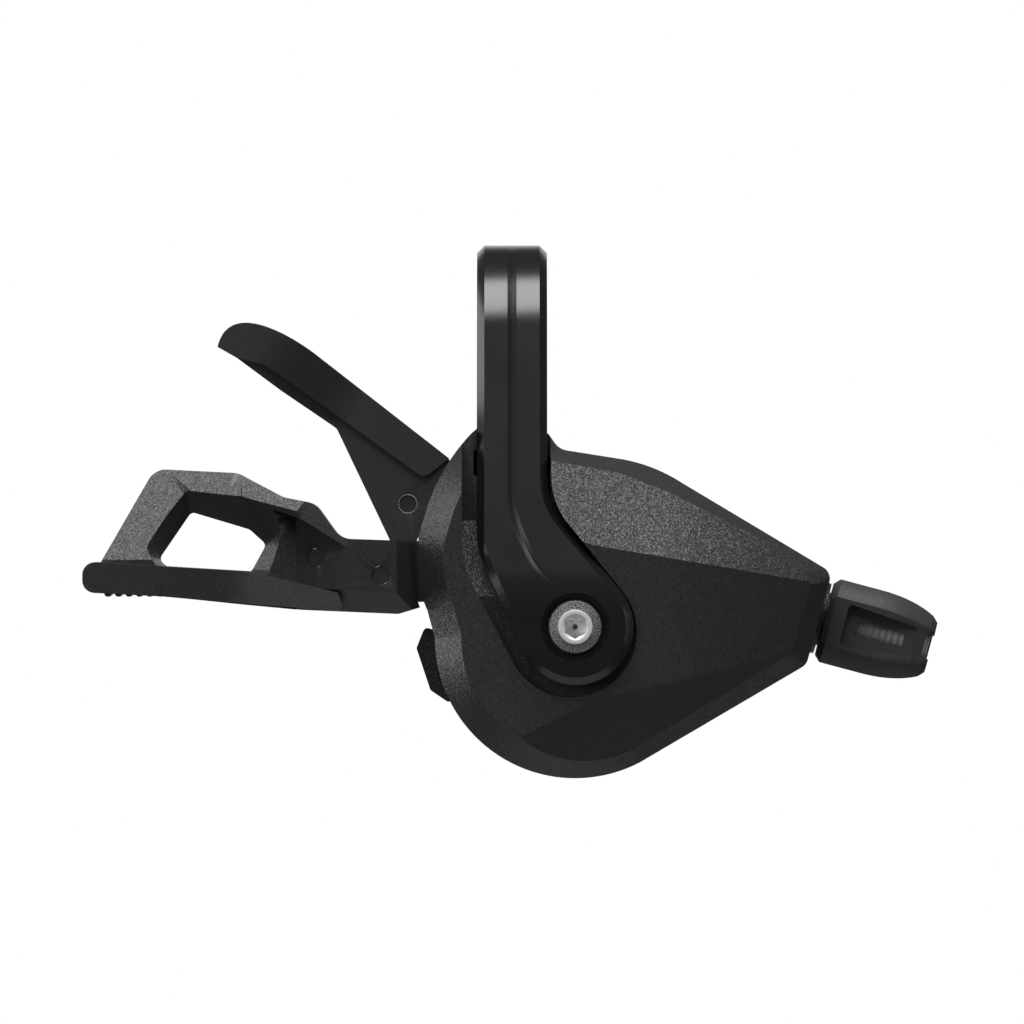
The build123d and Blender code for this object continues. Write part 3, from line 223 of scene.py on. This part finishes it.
# Anodised aluminium, bead-blasted: a black satin skin with soft broad highlights and a very fine tooth.
# Light meets the sealed oxide skin before the metal, so the IOR is the skin's. The pits of the blasting
# are finer than 0.12 mm; they are drawn that coarse, or the picture wouldn't show them.
def anodised_aluminium():
    """Black anodised, blasted aluminium with the strap's groove."""
    material, tree, shader, place = new_material("black_anodised_blasted_aluminium")
    shader.inputs["IOR"].default_value = 1.62
    blast_pit, pit_depth = 0.12 * mm, 0.02 * mm
    skin_patch = 6 * mm
    groove_depth = 0.18 * mm
    pits = add_node(tree, "ShaderNodeTexNoise", {"Vector": place, "Scale": 1 / blast_pit, "Detail": 2.0})
    cloud = add_node(tree, "ShaderNodeTexNoise", {"Vector": place, "Scale": 1 / skin_patch, "Detail": 3.0})
    tone = add_node(tree, "ShaderNodeMix", {0: cloud.outputs["Fac"], 6: linear("#101011"), 7: linear("#161617")},
                    data_type="RGBA")
    rough = add_node(tree, "ShaderNodeMapRange", {0: cloud.outputs["Fac"], 3: 0.22, 4: 0.27})
    hollow = add_node(tree, "ShaderNodeBump",
                      {"Height": strap_groove(tree, place), "Strength": 1.0, "Distance": groove_depth}, invert=True)
    relief = add_node(tree, "ShaderNodeBump", {"Height": pits.outputs["Fac"], "Strength": 0.10,
                                               "Distance": pit_depth, "Normal": hollow.outputs[0]})
    tree.links.new(tone.outputs[2], shader.inputs["Base Color"])
    tree.links.new(rough.outputs[0], shader.inputs["Roughness"])
    tree.links.new(relief.outputs[0], shader.inputs["Normal"])
    return material


dress("clamp_band", anodised_aluminium(), 0.35 * mm)


# Clamp bolt: a turned steel collar, blackened, round a bright broached hexagon socket.
# It pulls the boss of the arm towards the post inside the housing.
def blackened_bolt_steel(centre):
    """Turned steel, dark and lightly speckled on the collar and bright where the socket was broached, with painted
    shade in the dimple at its centre.
    """
    material, tree, shader, place = new_material("black_oxide_turned_steel")
    speck_size, speck_depth = 0.18 * mm, 0.06 * mm
    dimple_radius = 0.42 * mm
    socket_rim = 2.08 * mm
    drill_reach, drill_slope = 1.6 * mm, 0.35
    moved = add_node(tree, "ShaderNodeVectorMath", {0: place, 1: centre}, operation="SUBTRACT")
    across = add_node(tree, "ShaderNodeVectorMath", {0: moved.outputs[0], 1: (1, 0, 1)}, operation="MULTIPLY")
    reach = add_node(tree, "ShaderNodeVectorMath", {0: across.outputs[0]}, operation="LENGTH").outputs["Value"]
    speck = add_node(tree, "ShaderNodeTexNoise", {"Vector": place, "Scale": 1 / speck_size, "Detail": 3.0})
    spots = add_node(tree, "ShaderNodeMapRange", {0: speck.outputs["Fac"], 1: 0.38, 2: 0.62})
    collar = add_node(tree, "ShaderNodeMix", {0: spots.outputs[0], 6: linear("#5c5c5e"), 7: linear("#c8c8ca")},
                      data_type="RGBA")
    # the dimple at the centre of the socket floor is coloured dark grey: painted shade
    beside_dimple_painted_shade = add_node(tree, "ShaderNodeMapRange", {0: reach, 1: 0.6 * dimple_radius, 2: dimple_radius})
    socket = add_node(tree, "ShaderNodeMix",
                      {0: beside_dimple_painted_shade.outputs[0], 6: linear("#4a4a4c"), 7: linear("#f4f4f5")}, data_type="RGBA")
    outside = add_node(tree, "ShaderNodeMath", {0: reach, 1: socket_rim}, operation="GREATER_THAN").outputs[0]
    tone = add_node(tree, "ShaderNodeMix", {0: outside, 6: socket.outputs[2], 7: collar.outputs[2]},
                    data_type="RGBA")
    rough = add_node(tree, "ShaderNodeMapRange", {0: outside, 3: 0.45, 4: 0.50})
    # the broached socket is clean, matt metal that scatters light, so it is drawn partly as a diffuse surface
    metal = add_node(tree, "ShaderNodeMapRange", {0: outside, 3: 0.35, 4: 1.0})
    inside = add_node(tree, "ShaderNodeMath", {0: reach, 1: drill_reach}, operation="MINIMUM")
    cone = add_node(tree, "ShaderNodeBump", {"Height": inside.outputs[0], "Strength": 1.0, "Distance": drill_slope})
    gritty = add_node(tree, "ShaderNodeMath", {0: speck.outputs["Fac"], 1: outside}, operation="MULTIPLY")
    grit = add_node(tree, "ShaderNodeBump", {"Height": gritty.outputs[0], "Strength": 0.5,
                                             "Distance": speck_depth, "Normal": cone.outputs[0]})
    tree.links.new(tone.outputs[2], shader.inputs["Base Color"])
    tree.links.new(rough.outputs[0], shader.inputs["Roughness"])
    tree.links.new(metal.outputs[0], shader.inputs["Metallic"])
    tree.links.new(grit.outputs[0], shader.inputs["Normal"])
    return material


bolt_low, bolt_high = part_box("clamp_bolt")
dress("clamp_bolt", blackened_bolt_steel((bolt_low + bolt_high) / 2), 0.06 * mm)


# Housing: cover and rear housing moulded in black glass-filled nylon, with a spark-eroded grain.
# The cable port cap at the lower left is moulded from the same compound and pushed into the wall.
def moulded_nylon(name, dark, light, grain, tilt, rough_low, rough_high, droop=0.0):
    """Grained moulding: matt black, with sparkles where the grain's facets turn to the light.

    tilt is how far the facets turn. droop leans the normals at the right end downwards, which
    gives the eye a slightly crowned facet.
    """
    material, tree, shader, place = new_material(name)
    shader.inputs["IOR"].default_value = 1.53
    flow_patch = 9 * mm
    crown_start, crown_end = 18 * mm, 36 * mm
    facets = add_node(tree, "ShaderNodeTexVoronoi", {"Vector": place, "Scale": 1 / grain}).outputs["Color"]
    cloud = add_node(tree, "ShaderNodeTexNoise", {"Vector": place, "Scale": 1 / flow_patch, "Detail": 4.0})
    tone = add_node(tree, "ShaderNodeMix", {0: cloud.outputs["Fac"], 6: linear(dark), 7: linear(light)},
                    data_type="RGBA")
    chance = add_node(tree, "ShaderNodeSeparateXYZ", {0: facets})
    rough = add_node(tree, "ShaderNodeMapRange", {0: chance.outputs["X"], 3: rough_low, 4: rough_high})
    centred = add_node(tree, "ShaderNodeVectorMath", {0: facets, 1: (0.5, 0.5, 0.5)}, operation="SUBTRACT")
    turned = add_node(tree, "ShaderNodeVectorMath", {0: centred.outputs[0], "Scale": 2 * tilt}, operation="SCALE")
    smooth = add_node(tree, "ShaderNodeNewGeometry").outputs["Normal"]
    leaning = add_node(tree, "ShaderNodeVectorMath", {0: smooth, 1: turned.outputs[0]}, operation="ADD")
    if droop:
        axes = add_node(tree, "ShaderNodeSeparateXYZ", {0: place}).outputs
        crown = add_node(tree, "ShaderNodeMapRange",
                         {0: axes["X"], 1: crown_start, 2: crown_end, 3: 0.0, 4: -droop})
        crown_lean = add_node(tree, "ShaderNodeCombineXYZ", {"Z": crown.outputs[0]})
        leaning = add_node(tree, "ShaderNodeVectorMath", {0: leaning.outputs[0], 1: crown_lean.outputs[0]},
                           operation="ADD")
    normal = add_node(tree, "ShaderNodeVectorMath", {0: leaning.outputs[0]}, operation="NORMALIZE")
    tree.links.new(tone.outputs[2], shader.inputs["Base Color"])
    tree.links.new(rough.outputs[0], shader.inputs["Roughness"])
    tree.links.new(normal.outputs[0], shader.inputs["Normal"])
    return material


# The spark-eroded grain is taken as 0.05 mm; it is drawn more than twice as coarse, or the picture wouldn't
# show it.
spark_grain = ("#2a2a2c", "#303032", 0.12 * mm, 0.16, 0.34, 0.48)
cover_nylon = moulded_nylon("black_spark_grained_cover_nylon", *spark_grain, droop=0.20)
dress("front_cover", cover_nylon, 0.25 * mm)
housing_nylon = moulded_nylon("black_spark_grained_nylon", *spark_grain)
for node_name in ("rear_housing", "cable_port_cap"):
    dress(node_name, housing_nylon, 0.25 * mm)

# Thumb lever pad: the same nylon from a finer tool, riveted to its steel plate.
# Nothing but the thumb rubs its frame and bar, so the grain is even all over.
lever_nylon = moulded_nylon("black_fine_grained_nylon", "#2a2a2b", "#323233", 0.12 * mm, 0.09, 0.32, 0.42)
dress("main_lever_pad", lever_nylon, 0.5 * mm)

# Release lever pad and adjuster sleeve: nylon from a smoother tool, satin rather than matt.
# The blade is pushed with the thumb or pulled with a finger; turning has dulled the sleeve a little.
satin_nylon = moulded_nylon("black_satin_nylon", "#313132", "#39393b", 0.20 * mm, 0.03, 0.32, 0.38)
dress("release_lever_pad", satin_nylon, 0.5 * mm)
grip_nylon = moulded_nylon("dulled_grip_nylon", "#3a3a3c", "#434345", 0.20 * mm, 0.04, 0.42, 0.50)
grip_nylon.node_tree.nodes["Principled BSDF"].inputs["Specular IOR Level"].default_value = 0.25
dress("adjuster_sleeve", grip_nylon, 0.3 * mm)


# Adjuster barrel: turned aluminium with a fine rolled thread, left bare, seen through the sleeve's slot.
# It turns with the sleeve and screws in and out of the rear housing.
def threaded_aluminium(axis, pitch):
    """Bare turned aluminium whose thread flanks catch the light as fine bars across the axis."""
    material, tree, shader, place = new_material("bare_turned_thread_aluminium")
    shader.inputs["Metallic"].default_value = 0.4  # a dull oxide film scatters part of the light
    film_patch = 0.6 * mm
    thread_depth = 0.05 * mm
    along = add_node(tree, "ShaderNodeVectorMath", {0: place, 1: axis}, operation="DOT_PRODUCT")
    turns = add_node(tree, "ShaderNodeMath", {0: along.outputs["Value"], 1: 2 * math.pi / pitch},
                     operation="MULTIPLY")
    thread = add_node(tree, "ShaderNodeMath", {0: turns.outputs[0]}, operation="SINE")
    cloud = add_node(tree, "ShaderNodeTexNoise", {"Vector": place, "Scale": 1 / film_patch, "Detail": 4.0})
    tone = add_node(tree, "ShaderNodeMix", {0: cloud.outputs["Fac"], 6: linear("#dedfe1"), 7: linear("#f2f3f4")},
                    data_type="RGBA")
    rough = add_node(tree, "ShaderNodeMapRange", {0: cloud.outputs["Fac"], 3: 0.50, 4: 0.62})
    relief = add_node(tree, "ShaderNodeBump",
                      {"Height": thread.outputs[0], "Strength": 0.5, "Distance": thread_depth})
    tree.links.new(tone.outputs[2], shader.inputs["Base Color"])
    tree.links.new(rough.outputs[0], shader.inputs["Roughness"])
    tree.links.new(relief.outputs[0], shader.inputs["Normal"])
    return material


thread_pitch = 0.8 * mm
joints = {joint["name"]: joint for joint in frame["record"]["behaviour"]["joints"]}
adjuster_axis = Vector(joints["adjuster_turn"]["axis"])
dress("adjuster_barrel", threaded_aluminium(adjuster_axis, thread_pitch), 0.1 * mm)


# Stamped and turned steel pieces: plates, posts, shaft, washers, pawls, pins and springs.
# They are tumbled after stamping, which leaves a grey sheen with short scratches in every direction.
def tumbled_steel(name, dark, light):
    """Steel with soft grey mottling and fine scuffs."""
    material, tree, shader, place = new_material(name)
    shader.inputs["Metallic"].default_value = 1.0
    scuff_size, scuff_depth = 0.5 * mm, 0.01 * mm
    scuff = add_node(tree, "ShaderNodeTexNoise",
                     {"Vector": place, "Scale": 1 / scuff_size, "Detail": 6.0, "Distortion": 1.5}).outputs["Fac"]
    tone = add_node(tree, "ShaderNodeMix", {0: scuff, 6: linear(dark), 7: linear(light)}, data_type="RGBA")
    rough = add_node(tree, "ShaderNodeMapRange", {0: scuff, 3: 0.35, 4: 0.50})
    relief = add_node(tree, "ShaderNodeBump", {"Height": scuff, "Strength": 0.1, "Distance": scuff_depth})
    tree.links.new(tone.outputs[2], shader.inputs["Base Color"])
    tree.links.new(rough.outputs[0], shader.inputs["Roughness"])
    tree.links.new(relief.outputs[0], shader.inputs["Normal"])
    return material


steel = tumbled_steel("tumbled_stamped_steel", "#8d8e90", "#b4b5b7")
for node_name in ("clamp_post", "frame_plate", "base_plate", "spacer_posts", "main_shaft", "shaft_washers",
                  "hold_pawl_post", "drive_pawl_pin", "drive_pawl", "hold_pawl", "release_lever_plate",
                  "ratchet_wheel", "drum_spring", "main_lever_spring", "release_lever_spring",
                  "adjuster_spring", "cable_guide"):
    dress(node_name, steel, 0.08 * mm)


# Screws: thread-forming steel screws, zinc plated, driven from behind by a cross-shaped key.
# Three hold the rear housing to the cover and two hold the band's foot to the base plate.
def plated_screw_steel(name, centres):
    """Zinc-plated steel, bright and a little cloudy; the cross recess in each head is a bump with painted shade in
    it.
    """
    material = tumbled_steel(name, "#a2a3a6", "#c6c7c9")
    tree = material.node_tree
    shader = tree.nodes["Principled BSDF"]
    place = add_node(tree, "ShaderNodeTexCoord").outputs["Object"]
    wing_half, wing_reach, recess_depth = 0.28 * mm, 1.15 * mm, 0.5 * mm
    wings = []
    for x, z in centres:
        local = add_node(tree, "ShaderNodeVectorMath", {0: place, 1: (x, 0, z)}, operation="SUBTRACT")
        offset = add_node(tree, "ShaderNodeVectorMath", {0: local.outputs[0]}, operation="ABSOLUTE")
        sides = add_node(tree, "ShaderNodeSeparateXYZ", {0: offset.outputs[0]}).outputs
        for along, across in (("X", "Z"), ("Z", "X")):
            length = add_node(tree, "ShaderNodeMath", {0: sides[along], 1: wing_reach}, operation="DIVIDE")
            width = add_node(tree, "ShaderNodeMath", {0: sides[across], 1: wing_half}, operation="DIVIDE")
            wings.append(add_node(tree, "ShaderNodeMath", {0: length.outputs[0], 1: width.outputs[0]},
                                  operation="MAXIMUM"))
    nearest = wings[0]
    for wing in wings[1:]:
        nearest = add_node(tree, "ShaderNodeMath", {0: nearest.outputs[0], 1: wing.outputs[0]}, operation="MINIMUM")
    outside_recess_shade = add_node(tree, "ShaderNodeMapRange", {0: nearest.outputs[0], 1: 0.75, 2: 1.05}).outputs[0]
    plating = shader.inputs["Base Color"].links[0].from_socket
    scuffs = shader.inputs["Normal"].links[0].from_socket
    # inside each cross the colour turns dark grey: painted shade of the recess
    tone = add_node(tree, "ShaderNodeMix", {0: outside_recess_shade, 6: linear("#2e2e30"), 7: plating}, data_type="RGBA")
    recess = add_node(tree, "ShaderNodeBump",
                      {"Height": outside_recess_shade, "Strength": 1.0, "Distance": recess_depth, "Normal": scuffs})
    tree.links.new(tone.outputs[2], shader.inputs["Base Color"])
    tree.links.new(recess.outputs[0], shader.inputs["Normal"])
    return material


cover_screw_places = [(29.0 * mm, -23.0 * mm), (22.5 * mm, -40.5 * mm), (-7.1 * mm, -32.2 * mm)]
foot_screw_places = [(-2.3 * mm, -18.2 * mm), (2.3 * mm, -18.2 * mm)]
dress("cover_screws", plated_screw_steel("zinc_plated_cover_screw_steel", cover_screw_places), 0.08 * mm)
dress("foot_screws", plated_screw_steel("zinc_plated_foot_screw_steel", foot_screw_places), 0.08 * mm)

# Rivets and the thumb lever's plate: the same stamped steel in a darker grey. The grey is painted shade, so
# that the strip of plate seen in the gap beside the cover stays dark. The rivets were set cold, so each shank
# has swollen until it fills its hole.
dark_steel = tumbled_steel("dark_grey_tumbled_steel_painted_shade", "#48494b", "#626365")
dress("main_lever_plate", dark_steel, 0)
rivet_swell = 0.03 * mm
for node_name in ("main_lever_rivets", "release_lever_rivet"):
    rivet = dress(node_name, dark_steel, 0)
    swell = rivet.modifiers.new("shank_fills_hole", "DISPLACE")
    swell.strength = rivet_swell
    swell.mid_level = 0

# Wire drum: a plain acetal moulding inside the housing, with the cable's groove round it.
# It is keyed to the ratchet wheel and turned back by the spiral spring.
drum_acetal = moulded_nylon("dark_grey_moulded_acetal", "#3a3a3c", "#444446", 0.5 * mm, 0.02, 0.35, 0.45)
dress("wire_drum", drum_acetal, 0.1 * mm)
